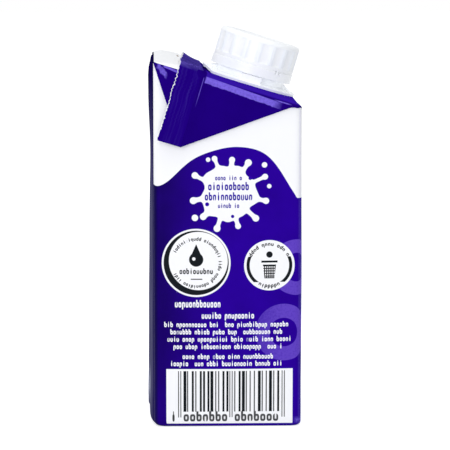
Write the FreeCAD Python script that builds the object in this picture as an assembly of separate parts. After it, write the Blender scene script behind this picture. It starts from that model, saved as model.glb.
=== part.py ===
"""Small cream carton with a slanted top and a screw cap, in millimetres.

The pack is one folded board brick: a square tube whose top slopes down from the back panel to the
front panel.  The cross seal of the tube crosses the slanted top and runs down both side panels on
the folded ears.  A moulded spout with a screw cap and a tamper band stands on the front of the top.

Frame: origin at the centre of the base, +X to the low front panel, +Z up, side panels at -Y and +Y.
The slanted top has a frame of its own (slant frame): u runs down the slope from the back top corner,
y is the row's Y, and n is the outward normal of the slope.
"""
import FreeCAD
import Part

import math
import os

from FreeCAD import Vector

# ---- carton: overall sizes --------------------------------------------------------------------
DEPTH = 43.8                # back panel to front panel
WIDTH = 45.4                # side panel to side panel
BACK_HEIGHT = 108.8         # base to the top corner of the back panel
TOP_DROP = 13.3             # the top corner of the front panel lies this much lower

# ---- carton: board, edges and bulges ----------------------------------------------------------
EAR_THICKNESS = 0.9         # two layers of board, glued
FIN_THICKNESS = 0.9         # the cross seal, two layers of board
CORNER_RADIUS = 2.2         # upright edges
BASE_ROUND = 1.8            # edges round the base
FRONT_BULGE = 1.3           # how far the front and back panels swell
SIDE_BULGE = 1.0            # how far the side panels swell

# ---- carton: slanted top ----------------------------------------------------------------------
TOP_RISE = 1.15             # the top stands this far above the line of its corners
TOP_RAMP = 7.2              # length of the rise at the back
RAMP_ROUND = 14.0           # soft bend where the rise ends
BACK_ROUND = 1.0            # edge between the back panel and the top
FRONT_ROUND = 1.5           # edge between the front panel and the top
EAR_ROLL = 2.4              # radius of the bend from the top down to an ear
EAR_LEAN = 1.9              # degrees that an ear leans out on the swollen side panel

# ---- cross seal -------------------------------------------------------------------------------
SEAL_FROM_BACK = 15.0       # seal line on the slope, from the back top corner
FIN_WIDTH = 7.2             # seal line to the cut edge
TOOTH_PITCH = 1.15          # saw teeth of the cut edge
TOOTH_DEPTH = 0.35
FIN_NOSE = 0.4              # rounding of the folded edge of the fin

# ---- long seam on the back panel --------------------------------------------------------------
SEAM_WIDTH = 7.0
SEAM_STEP = 0.35            # one board thickness
SEAM_OFFSET = 6.0           # seam centre from the middle of the back panel

# ---- folds under the base ---------------------------------------------------------------------
BASE_FIN_WIDTH = 7.2
BASE_FIN_STEP = 0.45
BASE_RIM = 3.0              # flat border at the front and back of the base
FOLD_DEPTH = 0.9            # depth of the base panel between the ears, at the middle
FOLD_DEPTH_RIM = 0.15       # the same at the border

# ---- spout ------------------------------------------------------------------------------------
SPOUT_FROM_SEAL = 1.15      # foot of the pedestal, from the seal line
FLANGE_BRIM = 0.85          # beyond the foot of the pedestal, along the slope
FLANGE_SIDE_BRIM = 0.75     # the same across the pack
FLANGE_CORNER = 10.5
FLANGE_THICKNESS = 0.7
FLANGE_CLEARANCE = 0.1      # between the lifted back end of the flange and the fin
PEDESTAL_REACH = 0.7        # head of the low cone on the flange, beyond the neck
PEDESTAL_SPREAD = 2.1       # its foot, beyond its head
PEDESTAL_RISE = 0.6
NECK_STEP = 0.45            # the neck is this much thicker below the tamper band
NECK_CHAMFER = 0.5
BLOCK_WIDTH = 6.2           # stop blocks on the near and far side of the neck
BLOCK_HEIGHT = 1.55         # above the pedestal
BLOCK_PROUD = 0.25          # beyond the tamper band
WEB_WIDTH = 4.6             # sloping webs on the front and back of the neck
WEB_HEIGHT = 1.8

# ---- screw cap --------------------------------------------------------------------------------
CAP_RADIUS = 12.3
CAP_HEIGHT = 8.3
CAP_WALL = 1.35             # flutes included
CAP_ROOF = 1.2
THREAD_ROOM = 0.75          # between the cap's wall and the neck
CAP_ROUND = 1.3             # edge of the top
CAP_RIM = 0.9               # plain ring under the flutes
FLUTE_COUNT = 18
FLUTE_DEPTH = 0.38
FLUTE_RADIUS = 6.0
FLUTE_TOP_MARGIN = 1.5      # flutes end this far below the top
DISH_MARGIN = 3.0           # shallow dish in the top, from the cap's side
DISH_DEPTH = 0.2

# ---- tamper band ------------------------------------------------------------------------------
BAND_HEIGHT = 2.85
BAND_PROUD = 0.1            # beyond the cap
BAND_CLEARANCE = 0.35       # round the neck
STOP_CLEARANCE = 0.15       # above the blocks and webs
BRIDGE_GAP = 0.28           # slit between the band and the cap
BRIDGE_COUNT = 6
BRIDGE_WIDTH = 0.8
BRIDGE_INSET = 0.1          # from the side of the cap
BRIDGE_ANGLE = 36.0         # first bridge, from the -Y side towards +X
NOTCH_WIDTH = 0.45          # relief cuts beside each bridge
NOTCH_DEPTH = 0.8

# ---- values worked out from the ones above ----------------------------------------------------
HALF_DEPTH = DEPTH / 2
HALF_WIDTH = WIDTH / 2
FRONT_HEIGHT = BACK_HEIGHT - TOP_DROP
SLOPE = math.atan2(TOP_DROP, DEPTH)
SLANT_LENGTH = math.hypot(TOP_DROP, DEPTH)
EAR_HEIGHT = math.sqrt(SEAL_FROM_BACK * (SLANT_LENGTH - SEAL_FROM_BACK))  # a right angle at the tip
FIN_BACK = SEAL_FROM_BACK - FIN_WIDTH
PEDESTAL_TOP = FLANGE_THICKNESS + PEDESTAL_RISE
BLOCK_TOP = PEDESTAL_TOP + BLOCK_HEIGHT
BAND_BOTTOM = BLOCK_TOP + STOP_CLEARANCE
BAND_TOP = BAND_BOTTOM + BAND_HEIGHT
BAND_RADIUS = CAP_RADIUS + BAND_PROUD
CAP_BOTTOM = BAND_TOP + BRIDGE_GAP
CAP_TOP = CAP_BOTTOM + CAP_HEIGHT
CAP_BORE = CAP_RADIUS - CAP_WALL
NECK_RADIUS = CAP_BORE - THREAD_ROOM
NECK_BASE_RADIUS = NECK_RADIUS + NECK_STEP
NECK_TOP = CAP_TOP - CAP_ROOF
BAND_BORE = NECK_RADIUS + BAND_CLEARANCE
PEDESTAL_HEAD = NECK_BASE_RADIUS + PEDESTAL_REACH
PEDESTAL_FOOT = PEDESTAL_HEAD + PEDESTAL_SPREAD
SPOUT_FROM_BACK = SEAL_FROM_BACK + SPOUT_FROM_SEAL + PEDESTAL_FOOT
FLANGE_LENGTH = 2 * (PEDESTAL_FOOT + FLANGE_BRIM)
FLANGE_WIDTH = 2 * (PEDESTAL_FOOT + FLANGE_SIDE_BRIM)
FLANGE_LIFT = FIN_THICKNESS + FLANGE_CLEARANCE
QUARTERS = [(1, 1), (-1, 1), (-1, -1), (1, -1)]
FAR = 200.0                 # past every face of the pack, for cutting tools
WALL_LEAN = 4.0             # degrees, so that the outline clears the swollen front and back


def slant(u, y, n):
    """A point of the slant frame in the row frame."""
    return Vector(
        -HALF_DEPTH + u * math.cos(SLOPE) + n * math.sin(SLOPE),
        y,
        BACK_HEIGHT - u * math.sin(SLOPE) + n * math.cos(SLOPE),
    )


def slant_direction(u, y, n):
    """A direction of the slant frame in the row frame."""
    return slant(u, y, n) - slant(0, 0, 0)


def rounded_wire(corners, place):
    """A closed wire through corners (a, b, radius), with a tangent arc at each rounded corner."""
    count = len(corners)
    ends = []
    for i, (a, b, radius) in enumerate(corners):
        here = Vector(a, b, 0)
        before = (Vector(*corners[i - 1][:2], 0) - here).normalize()
        after = (Vector(*corners[(i + 1) % count][:2], 0) - here).normalize()
        if radius <= 0:
            ends.append((here, None, here))
            continue
        half = before.getAngle(after) / 2
        reach = radius / math.tan(half)
        middle = (before + after).normalize() * (radius / math.sin(half) - radius)
        ends.append((here + before * reach, here + middle, here + after * reach))
    edges = []
    for i, (_, _, leave) in enumerate(ends):
        start, middle, end = ends[(i + 1) % count]
        edges.append(Part.makeLine(place(leave.x, leave.y), place(start.x, start.y)))
        if middle is not None:
            points = [place(p.x, p.y) for p in (start, middle, end)]
            edges.append(Part.Arc(*points).toShape())
    return Part.Wire(Part.__sortEdges__(edges))


def prism(corners, place, along):
    """The solid that a rounded outline sweeps along a straight direction."""
    return Part.Face(rounded_wire(corners, place)).extrude(along)


# ---- carton -----------------------------------------------------------------------------------
def tube_block():
    """The tube with flat panels, rounded along its upright edges and round the base."""
    block = Part.makeBox(DEPTH, WIDTH, BACK_HEIGHT + TOP_RISE, Vector(-HALF_DEPTH, -HALF_WIDTH, 0))
    upright = [e for e in block.Edges if e.BoundBox.ZLength > BACK_HEIGHT]
    block = block.makeFillet(CORNER_RADIUS, upright)
    foot = [e for e in block.Edges if e.BoundBox.ZMax < 1e-4]
    return block.makeFillet(BASE_ROUND, foot)


def swelling(corners, outward, bulge):
    """The solid between a flat panel and the same panel swollen outwards.

    The corners run round the panel.  The outer face is a patch whose rim stays on the flat panel and
    whose middle stands out by the bulge.
    """
    low_a, low_b, high_b, high_a = corners
    patch = Part.BezierSurface()
    patch.increase(2, 2)
    for i in range(3):
        low = low_a + (low_b - low_a) * (i / 2)
        high = high_a + (high_b - high_a) * (i / 2)
        for j in range(3):
            point = low + (high - low) * (j / 2)
            if i == j == 1:
                point = point + outward * (4 * bulge)
            patch.setPole(i + 1, j + 1, point)
    return patch.toShape().extrude(outward * (-2 * bulge))


def panel(half_across, half_along, bulge, heights):
    """Corners of a panel facing -Y, from its own middle: half its breadth, its distance, its heights."""
    reach = half_across - CORNER_RADIUS
    left, right = heights
    corners = [(-reach, BASE_ROUND), (reach, BASE_ROUND), (reach, right), (-reach, left)]
    return swelling([Vector(x, -half_along, z) for x, z in corners], Vector(0, -1, 0), bulge)


def front_panel(angle, height, proud=0.0):
    """The swelling of the front panel (90 degrees) or of the back panel (-90 degrees)."""
    shape = panel(HALF_WIDTH, HALF_DEPTH + proud, FRONT_BULGE, (height, height))
    shape.rotate(Vector(0, 0, 0), Vector(0, 0, 1), angle)
    return shape


def side_panel(side):
    """The swelling of the side panel at -Y (-1) or at +Y (1)."""
    shape = panel(HALF_DEPTH, HALF_WIDTH, SIDE_BULGE, (BACK_HEIGHT, FRONT_HEIGHT))
    if side > 0:
        shape = shape.mirror(Vector(0, 0, 0), Vector(0, 1, 0))
    return shape


def tube_walls():
    """The filled tube with its four swollen panels, up to a little above the slanted top."""
    walls = tube_block()
    swollen = [
        front_panel(90, FRONT_HEIGHT),
        front_panel(-90, BACK_HEIGHT),
        side_panel(-1),
        side_panel(1),
    ]
    return walls.fuse(swollen)


def side_outline():
    """The pack seen from the side: the slanted top with its rise and its rounded ends."""
    front_u = (DEPTH - TOP_RISE * math.sin(SLOPE)) / math.cos(SLOPE)
    top_back = slant(0, 0, 0)
    ramp_end = slant(TOP_RAMP, 0, TOP_RISE)
    top_front = slant(front_u, 0, TOP_RISE)
    spread = math.tan(math.radians(WALL_LEAN)) * (BACK_HEIGHT + BASE_ROUND)
    corners = [
        (top_back.x, top_back.z, BACK_ROUND),
        (ramp_end.x, ramp_end.z, RAMP_ROUND),
        (top_front.x, top_front.z, FRONT_ROUND),
        (HALF_DEPTH + spread, -BASE_ROUND, 0),
        (-HALF_DEPTH - spread, -BASE_ROUND, 0),
    ]
    return prism(corners, lambda x, z: Vector(x, -FAR / 2, z), Vector(0, FAR, 0))


def roll_profile(proud):
    """Corners of the cross section of the top with its rolled edges, proud of the board below."""
    reach = HALF_WIDTH + EAR_THICKNESS + proud
    rise = TOP_RISE + proud
    spread = reach + math.tan(math.radians(EAR_LEAN)) * FAR
    radius = EAR_ROLL + proud
    foot = rise - FAR
    return [(-reach, rise, radius), (reach, rise, radius), (spread, foot, 0), (-spread, foot, 0)]


def rolled_top(proud, start, end):
    """The solid under the rolled top, from one place on the slope to another."""
    return prism(
        roll_profile(proud),
        lambda y, n: slant(start, y, n),
        slant_direction(end - start, 0, 0),
    )


def ears(outline):
    """The folded ears: the corner of the tube, pressed flat and folded down on each side panel."""
    corners = [
        (0, 0, 0),
        (SEAL_FROM_BACK, -EAR_HEIGHT, 0),
        (SLANT_LENGTH, 0, 0),
        (SLANT_LENGTH, 4 * TOP_RISE, 0),
        (0, 4 * TOP_RISE, 0),
    ]
    triangle = prism(corners, lambda u, n: slant(u, -FAR / 2, n), Vector(0, FAR, 0))
    reach = HALF_WIDTH + EAR_THICKNESS
    foot = [(a * HALF_DEPTH, b * reach, CORNER_RADIUS + EAR_THICKNESS) for a, b in QUARTERS]
    plan = prism(foot, lambda x, y: Vector(x, y, FRONT_HEIGHT - 2 * EAR_HEIGHT), Vector(0, 0, FAR))
    ends = plan.fuse(Part.makeBox(DEPTH / 2, FAR, FAR, Vector(-DEPTH / 4, -FAR / 2, 0)))
    return rolled_top(0, -FAR / 4, FAR / 2).common(triangle).common(outline).common(ends)


def saw_edge(low, high):
    """Corners of a toothed edge from low to high, as (place along the edge, depth of the cut)."""
    count = max(2, round((high - low) / TOOTH_PITCH))
    pitch = (high - low) / count
    points = []
    for i in range(count):
        points.append((low + i * pitch, 0))
        points.append((low + (i + 0.5) * pitch, TOOTH_DEPTH))
    return points + [(high, 0)]


def fin():
    """The cross seal, folded back on the top and on both ears, with its saw-cut edge."""
    band = rolled_top(FIN_THICKNESS, FIN_BACK, SEAL_FROM_BACK)
    band = band.cut(rolled_top(0, FIN_BACK - 1, SEAL_FROM_BACK + 1))
    flat = HALF_WIDTH + EAR_THICKNESS - EAR_ROLL
    end = SEAL_FROM_BACK + 1
    legs = [(FIN_BACK + cut, n, 0) for n, cut in saw_edge(-EAR_HEIGHT, TOP_RISE - EAR_ROLL)]
    legs += [(FIN_BACK, 2 * EAR_ROLL, 0), (end, 2 * EAR_ROLL, 0), (end, -EAR_HEIGHT, 0)]
    top = [(FIN_BACK, -FAR / 4, 0)]
    top += [(FIN_BACK + cut, y, 0) for y, cut in saw_edge(-flat, flat)]
    top += [(FIN_BACK, FAR / 4, 0), (end, FAR / 4, 0), (end, -FAR / 4, 0)]
    leg_tool = prism(legs, lambda u, n: slant(u, -FAR / 2, n), Vector(0, FAR, 0))
    top_tool = prism(top, lambda u, y: slant(u, y, -FAR / 4), slant_direction(0, 0, FAR / 2))
    return round_nose(band).common(leg_tool).common(top_tool)


def round_nose(band):
    """Rounds the outer edge where the fin folds back on itself."""
    face = max(band.Faces, key=lambda f: slant_u(f.CenterOfMass))
    chain = [e for e in face.Edges if on_outer_profile(e)]
    return band.makeFillet(FIN_NOSE, chain)


def slant_u(point):
    """Place of a point along the slope."""
    return (point - slant(0, 0, 0)).dot(slant_direction(1, 0, 0))


def on_outer_profile(edge):
    """True for an edge on the outside of the fin, above its lower ends."""
    middle = edge.valueAt((edge.FirstParameter + edge.LastParameter) / 2)
    n = (middle - slant(0, 0, 0)).dot(slant_direction(0, 0, 1))
    lean = math.tan(math.radians(EAR_LEAN))
    wall = HALF_WIDTH + EAR_THICKNESS + lean * (TOP_RISE - n)
    return n > TOP_RISE + FIN_THICKNESS / 2 or abs(middle.y) > wall + FIN_THICKNESS / 2


def long_seam():
    """The lapped edge of the board, a low step down the back panel."""
    strip = Part.makeBox(
        HALF_DEPTH,
        SEAM_WIDTH,
        BACK_HEIGHT,
        Vector(-DEPTH, SEAM_OFFSET - SEAM_WIDTH / 2, 0),
    )
    return front_panel(-90, BACK_HEIGHT, SEAM_STEP).common(strip)


def base_gap(start, end):
    """The part of the base between its two folded-in ears, from one place on X to another."""
    corner = Vector(min(start, end), -HALF_WIDTH, -FOLD_DEPTH)
    field = Part.makeBox(abs(end - start), WIDTH, 2 * FOLD_DEPTH, corner)
    for side in (-1, 1):
        edge = side * HALF_WIDTH
        ear = [(-HALF_DEPTH, edge, 0), (HALF_DEPTH, edge, 0), (0, edge - side * HALF_DEPTH, 0)]
        field = field.cut(prism(ear, lambda x, y: Vector(x, y, -WIDTH), Vector(0, 0, 2 * WIDTH)))
    return field


def base_recess(side):
    """The sunk base panel between the ears, towards the front (1) or the back (-1)."""
    end = side * (HALF_DEPTH - BASE_RIM)
    depths = [(0, -1, 0), (end, -1, 0), (end, FOLD_DEPTH_RIM, 0), (0, FOLD_DEPTH, 0)]
    wedge = prism(depths, lambda x, z: Vector(x, -HALF_WIDTH, z), Vector(0, WIDTH, 0))
    return base_gap(0, end).common(wedge)


def base_fin():
    """The lower cross seal, folded back on the base panel between the ears."""
    cut = [(x_cut - BASE_FIN_WIDTH, y, 0) for y, x_cut in saw_edge(-HALF_WIDTH, HALF_WIDTH)]
    corners = [(0, -HALF_WIDTH, 0)] + cut + [(0, HALF_WIDTH, 0)]
    rise = Vector(0, 0, FOLD_DEPTH - BASE_FIN_STEP)
    strip = prism(corners, lambda x, y: Vector(x, y, BASE_FIN_STEP), rise)
    return strip.common(base_gap(-BASE_FIN_WIDTH, 0))


def carton():
    """The folded board pack, one piece of board, filled and shut."""
    outline = side_outline()
    core = tube_walls().common(rolled_top(0, -FAR / 4, FAR / 2)).common(outline)
    body = core.fuse(ears(outline)).fuse(long_seam().common(outline)).fuse(fin())
    body = body.cut(base_recess(1)).cut(base_recess(-1)).fuse(base_fin())
    return body.removeSplitter()


# ---- spout and closure ------------------------------------------------------------------------
def on_top(solid):
    """Moves a solid from the closure's own frame, with its axis on Z, to its seat on the slope."""
    seat = slant(SPOUT_FROM_BACK, 0, TOP_RISE)
    solid = solid.copy()
    solid.rotate(Vector(0, 0, 0), Vector(0, 1, 0), math.degrees(SLOPE))
    solid.translate(seat)
    return solid


def ring(outer, inner, bottom, height):
    """A plain ring about the closure's axis."""
    tube = Part.makeCylinder(outer, height, Vector(0, 0, bottom))
    return tube.cut(Part.makeCylinder(inner, height, Vector(0, 0, bottom)))


def turned(points):
    """The solid that a profile of (radius, height) points makes about the closure's axis."""
    wire = Part.makePolygon([Vector(r, 0, z) for r, z in points + points[:1]])
    return Part.Face(wire).revolve(Vector(0, 0, 0), Vector(0, 0, 1), 360)


def flange():
    """The thin plate of the spout, with its back end lifted over the fold of the fin."""
    half = FLANGE_LENGTH / 2
    corners = [(a * half, b * FLANGE_WIDTH / 2, FLANGE_CORNER) for a, b in QUARTERS]
    plan = prism(corners, lambda x, y: Vector(x, y, 0), Vector(0, 0, FAR))
    high = SEAL_FROM_BACK - SPOUT_FROM_BACK + FLANGE_LIFT
    low = high + 2 * FLANGE_LIFT
    under = [(half, 0), (low, 0), (high, FLANGE_LIFT), (-half, FLANGE_LIFT)]
    upper = [(x, z + FLANGE_THICKNESS) for x, z in reversed(under)]
    slope = [(x, z, 0) for x, z in under + upper]
    return plan.common(across(slope, FLANGE_WIDTH))


def across(corners, breadth):
    """The solid of an (x, z) outline, spread evenly to both sides of the closure's axis."""
    return prism(corners, lambda x, z: Vector(x, -breadth / 2, z), Vector(0, breadth, 0))


def spout():
    """Flange, low pedestal, neck, stop blocks and webs, moulded in one."""
    pedestal = turned(
        [
            (0, 0),
            (PEDESTAL_HEAD, 0),
            (PEDESTAL_FOOT, FLANGE_THICKNESS),
            (PEDESTAL_HEAD, PEDESTAL_TOP),
            (0, PEDESTAL_TOP),
        ]
    )
    neck = turned(
        [
            (0, 0),
            (NECK_BASE_RADIUS, 0),
            (NECK_BASE_RADIUS, BLOCK_TOP),
            (NECK_RADIUS, BLOCK_TOP),
            (NECK_RADIUS, NECK_TOP - NECK_CHAMFER),
            (NECK_RADIUS - NECK_CHAMFER, NECK_TOP),
            (0, NECK_TOP),
        ]
    )
    reach = BAND_RADIUS + BLOCK_PROUD
    blocks = Part.makeBox(BLOCK_WIDTH, 2 * reach, BLOCK_TOP, Vector(-BLOCK_WIDTH / 2, -reach, 0))
    return flange().fuse([pedestal, neck, blocks, webs()]).removeSplitter()


def webs():
    """Sloping webs from the ends of the flange up to the neck."""
    foot = FLANGE_LENGTH / 2 - FLANGE_THICKNESS
    head = NECK_BASE_RADIUS
    top = FLANGE_THICKNESS + WEB_HEIGHT
    front = [(head, 0), (foot, 0), (foot, FLANGE_THICKNESS), (head, top)]
    back = [(-head, top), (-foot, FLANGE_LIFT + FLANGE_THICKNESS), (-foot, FLANGE_LIFT), (-head, 0)]
    return across([(x, z, 0) for x, z in front + back], WEB_WIDTH)


def turned_box(sizes, place, angle):
    """A box given by its sizes and its lowest corner, turned about the closure's axis."""
    box = Part.makeBox(*sizes, place)
    box.rotate(Vector(0, 0, 0), Vector(0, 0, 1), angle)
    return box


def tamper_band():
    """The ring that stays on the neck, held to the cap by thin bridges beside relief notches."""
    band = ring(BAND_RADIUS, BAND_BORE, BAND_BOTTOM, BAND_HEIGHT)
    notch_out = BAND_RADIUS + NOTCH_WIDTH
    notch_in = BAND_BORE - NOTCH_WIDTH
    bridge_out = CAP_RADIUS - BRIDGE_INSET
    bridge_in = CAP_BORE + BRIDGE_INSET
    for i in range(BRIDGE_COUNT):
        angle = BRIDGE_ANGLE + i * 360 / BRIDGE_COUNT
        for left in (-BRIDGE_WIDTH / 2 - NOTCH_WIDTH, BRIDGE_WIDTH / 2):
            place = Vector(left, -notch_out, BAND_TOP - NOTCH_DEPTH)
            band = band.cut(turned_box((NOTCH_WIDTH, notch_out - notch_in, NOTCH_DEPTH), place, angle))
        place = Vector(-BRIDGE_WIDTH / 2, -bridge_out, BAND_TOP)
        band = band.fuse(turned_box((BRIDGE_WIDTH, bridge_out - bridge_in, BRIDGE_GAP), place, angle))
    return band.removeSplitter()


def screw_cap():
    """The cap: a cup over the neck with fluted sides, a plain rim and a shallow dish in the top."""
    cup = Part.makeCylinder(CAP_RADIUS, CAP_HEIGHT, Vector(0, 0, CAP_BOTTOM))
    rim = [e for e in cup.Edges if e.Closed and abs(e.BoundBox.ZMin - CAP_TOP) < 1e-6]
    cup = cup.makeFillet(CAP_ROUND, rim)
    cup = cup.cut(Part.makeCylinder(CAP_BORE, CAP_HEIGHT - CAP_ROOF, Vector(0, 0, CAP_BOTTOM)))
    dish = CAP_RADIUS - DISH_MARGIN
    cup = cup.cut(Part.makeCone(dish - DISH_DEPTH, dish, DISH_DEPTH, Vector(0, 0, CAP_TOP - DISH_DEPTH)))
    height = CAP_HEIGHT - CAP_RIM - FLUTE_TOP_MARGIN
    reach = CAP_RADIUS + FLUTE_RADIUS - FLUTE_DEPTH
    for i in range(FLUTE_COUNT):
        angle = math.radians((i + 0.5) * 360 / FLUTE_COUNT)
        foot = Vector(reach * math.sin(angle), -reach * math.cos(angle), CAP_BOTTOM + CAP_RIM)
        cup = cup.cut(Part.makeCylinder(FLUTE_RADIUS, height, foot))
    return cup


def main():
    """Builds each piece and writes it as a STEP file."""
    os.makedirs("parts", exist_ok=True)
    pieces = {
        "carton": carton(),
        "spout": on_top(spout()),
        "tamper_band": on_top(tamper_band()),
        "screw_cap": on_top(screw_cap()),
    }
    for name, shape in pieces.items():
        print(f"{name}: {len(shape.Solids)} solid, valid {shape.isValid()}, volume {shape.Volume:.1f}")
        shape.exportStep(f"parts/{name}.step")


main()
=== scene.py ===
"""Looks of a small cream carton: printed board, cross seal, spout, tamper band and screw cap."""
import math
import random

import bpy
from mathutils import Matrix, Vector


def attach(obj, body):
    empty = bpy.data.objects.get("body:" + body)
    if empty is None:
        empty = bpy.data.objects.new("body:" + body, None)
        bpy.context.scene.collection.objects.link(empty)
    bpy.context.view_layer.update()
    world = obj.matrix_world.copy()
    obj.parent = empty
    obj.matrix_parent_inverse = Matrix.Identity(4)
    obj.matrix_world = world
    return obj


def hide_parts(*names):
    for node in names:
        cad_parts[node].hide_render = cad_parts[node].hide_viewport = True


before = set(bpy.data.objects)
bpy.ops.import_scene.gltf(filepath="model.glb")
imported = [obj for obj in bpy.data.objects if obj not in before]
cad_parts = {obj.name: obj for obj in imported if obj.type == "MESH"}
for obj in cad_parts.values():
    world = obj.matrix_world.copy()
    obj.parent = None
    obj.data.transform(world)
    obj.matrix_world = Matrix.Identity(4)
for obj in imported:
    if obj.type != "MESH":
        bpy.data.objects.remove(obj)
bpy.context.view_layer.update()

# ---- sizes shared with the construction, in millimetres
DEPTH = 43.8
WIDTH = 45.4
BACK_HEIGHT = 108.8
TOP_DROP = 13.3
EAR_THICKNESS = 0.9
FIN_THICKNESS = 0.9
CORNER_RADIUS = 2.2
TOP_RISE = 1.15
TOP_RAMP = 7.2
EAR_ROLL = 2.4
EAR_LEAN = 1.9
SEAL_FROM_BACK = 15.0
FIN_WIDTH = 7.2
TOOTH_PITCH = 1.15
SEAM_WIDTH = 7.0
SEAM_STEP = 0.35
SEAM_OFFSET = 6.0
BASE_FIN_WIDTH = 7.2
BASE_FIN_STEP = 0.45
FOLD_DEPTH = 0.9
FOLD_DEPTH_RIM = 0.15
BACK_ROUND = 1.0

# The closure: its axis down the slope, and its heights above the top.
SPOUT_FROM_BACK = 29.6
CAP_RADIUS = 12.3
FLUTE_COUNT = 18
BAND_RADIUS = 12.4
BAND_BORE = 10.55
BAND_BOTTOM = 3.0
BAND_TOP = 5.85
BRIDGE_GAP = 0.28
BRIDGE_WIDTH = 0.8
NOTCH_WIDTH = 0.45
NOTCH_DEPTH = 0.8

HALF_DEPTH = DEPTH / 2
HALF_WIDTH = WIDTH / 2
HALF_ROUND = DEPTH + WIDTH  # half the way round the tube
ROUND_THE_TUBE = 2 * HALF_ROUND
SLOPE = math.atan2(TOP_DROP, DEPTH)
SLANT_LENGTH = math.hypot(TOP_DROP, DEPTH)
EAR_HEIGHT = math.sqrt(SEAL_FROM_BACK * (SLANT_LENGTH - SEAL_FROM_BACK))
LEAN = math.tan(math.radians(EAR_LEAN))
FIN_FLAT = HALF_WIDTH + EAR_THICKNESS - EAR_ROLL    # the fin lies flat out to here
FIN_ARC = EAR_ROLL * math.pi / 2                    # and bends down over this length

# ---- sizes of the finish alone
FOOT_ROUND_BACK = 1.9       # the filled pack is rounder at the foot of its back panel
FOOT_ROUND_FRONT = 1.5
FRONT_ROUND = 2.1
REAR_SWELL = 1.15           # the top swells behind the cross seal, most towards the far side
REAR_SWELL_END = 8          # this far down the slope it starts to fall off
REAR_SWELL_FALL = 5.5       # and is gone after this much more
FIN_SPRING = 0.35           # the cut edge of the fin springs up from the top
FIN_TURN = 1.2              # the cut edge runs this much askew across the top
CUT_EDGE = SEAL_FROM_BACK - FIN_WIDTH - 0.3         # the cut edge, before its teeth
FIN_NOSE = 0.42             # rounding of the folded edge of the fin
FIN_BEVEL = 0.3             # the cut edge is pinched thinner by this much
FIN_TIP_THICKNESS = 0.42
FIN_LIFT = 0.04             # the fin's underside clears the board by this much
TOOTH_DEPTH = 0.24
TOOTH_STEPS = 4
TEAR = 0.12                 # largest stray fibre of the cut edge
NOSE_RAMP = 0.72            # the board rises towards the fold of the fin
NOSE_RAMP_LENGTH = 2.2
NOSE_RAMP_START = 12
FRONT_RAMP = 3.4            # the top falls to its front edge over this length
BRIDGE_TURNS = (36, 156, 276)
RING_STEPS = 120
RING_CHAMFER = 0.15
FLUTE_LOW = 7.0             # the flutes get painted shade between these heights above the top
FLUTE_HIGH = 12.9

# How far each panel swells, at heights above the base: the filled pack sags, and its back panel is
# pulled in under the top.
BACK_SWELL = [
    (0, 1.1), (3, 1.35), (8, 1.35), (31, 1.2), (55, 0.95), (80, 0.5), (98, 1.15), (104, 1.2),
    (109.5, 0.1),
]
FRONT_SWELL = [(0, 0.1), (20, 0.9), (45, 1.15), (70, 0.9), (90, 0.3), (96, 0.0)]
SIDE_SWELL = [(0, 0.1), (20, 0.75), (45, 0.95), (75, 0.6), (100, 0.3), (112, 0.3)]
BACK_SWELL_SHARE = 0.93

BASE_FULLNESS = 4           # the back panel is fuller out to its edges near the base
BASE_FULLNESS_HEIGHT = 14
EAR_BEND = EAR_ROLL * 1.17  # how far in from the side the bend down to an ear begins
EAR_ROLL_START = 0.3        # the bend down to an ear is this much tighter at the back corner
EAR_ROLL_RUN = 6.0          # and opens to its full radius over this length
EAR_SLACK = 0.35            # an ear's step ends at least this far below the top edge
LEG_END = 20.3              # an ear's lower edge runs up to the top edge here, short of the corner

SIDE_STEP = 1.25            # spacing of the mesh across the side panels
PANEL_STEP = 1.6            # and across the front and back panels
CORNER_STEPS = 8
FOOT_STEPS = 7

MM = 0.001


def smooth(x):
    """Eases from 0 to 1."""
    x = min(1.0, max(0.0, x))
    return x * x * (3 - 2 * x)


def along(profile, place):
    """The value of a list of (place, value) knots, eased between its knots."""
    for (p0, v0), (p1, v1) in zip(profile, profile[1:]):
        if place <= p1:
            return v0 + (v1 - v0) * smooth((place - p0) / (p1 - p0))
    return profile[-1][1]


# ---- the slanted top
def plane_height(x):
    """Height of the line between the top corners of the back and front panels."""
    return BACK_HEIGHT - (x + HALF_DEPTH) * math.tan(SLOPE)


def top_rise(x, y):
    """How far the top stands above that line, square to the slope."""
    u = (x + HALF_DEPTH) / math.cos(SLOPE)
    ramp = TOP_RISE * smooth(0.2 + 0.8 * u / TOP_RAMP)
    ramp *= smooth(0.15 + (SLANT_LENGTH - u) / FRONT_RAMP)
    far = smooth(0.6 + 0.5 * y / HALF_WIDTH)
    fallen = smooth((u - REAR_SWELL_END) / REAR_SWELL_FALL)
    swollen = REAR_SWELL * far * smooth(0.35 + u / 5) * (1 - fallen)
    return ramp + swollen + nose_ramp(u)


def nose_ramp(u):
    """How far the board in front of the fin rises towards the fold of the fin."""
    rise = smooth((SEAL_FROM_BACK + NOSE_RAMP_LENGTH - u) / NOSE_RAMP_LENGTH)
    return NOSE_RAMP * rise * smooth(u - NOSE_RAMP_START)


def top_height(x, y):
    """Height of the top's outer surface."""
    return plane_height(x) + top_rise(x, y) / math.cos(SLOPE)


def slant(u, y, n):
    """A point of the slope's own frame: u down the slope from the back corner, n square to it."""
    return (
        -HALF_DEPTH + u * math.cos(SLOPE) + n * math.sin(SLOPE),
        y,
        BACK_HEIGHT - u * math.sin(SLOPE) + n * math.cos(SLOPE),
    )


def from_slant(point):
    """Where a point lies in the slope's own frame."""
    x, y, z = point
    along_x, up = x + HALF_DEPTH, z - BACK_HEIGHT
    return (
        along_x * math.cos(SLOPE) - up * math.sin(SLOPE),
        y,
        along_x * math.sin(SLOPE) + up * math.cos(SLOPE),
    )


def closure_place(x, y, z):
    """A point of the closure's own frame, with its axis square to the slope."""
    return slant(SPOUT_FROM_BACK + x, y, z + TOP_RISE)


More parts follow.
